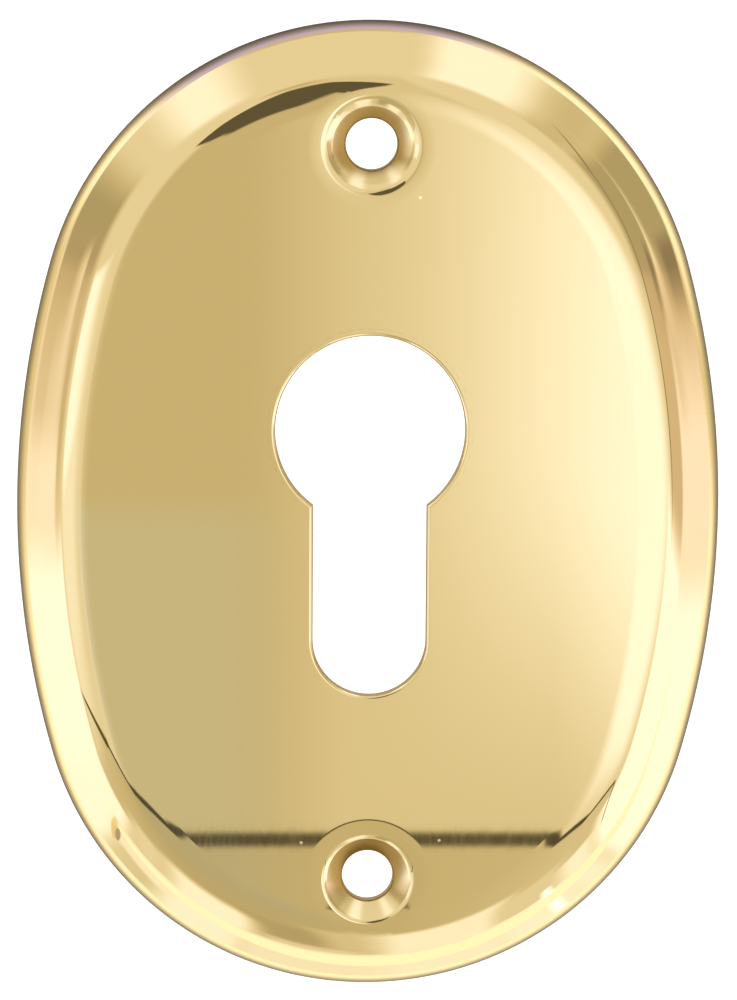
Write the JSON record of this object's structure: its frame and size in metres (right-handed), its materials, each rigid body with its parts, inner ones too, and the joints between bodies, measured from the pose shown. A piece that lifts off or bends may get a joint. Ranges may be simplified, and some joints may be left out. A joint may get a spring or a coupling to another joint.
{
  "type": "keyhole escutcheon",
  "caption": "Oval keyhole escutcheon pressed from polished brass sheet: flat raised field, ogee rim, dimpled countersunk screw holes and a profile-cylinder keyhole.",
  "frame": {"origin": "centre of the oval, on the plane of the rim that rests on the door", "axes": "+X across the plate, +Y along its length towards the round end of the keyhole, +Z out of the face, away from the door"},
  "size_m": [0.065, 0.0904, 0.0047],
  "materials": {
    "polished_brass": "polished and lacquered"
  },
  "bodies": {
    "root": {"escutcheon_plate": "polished_brass"}
  },
  "joints": []
}
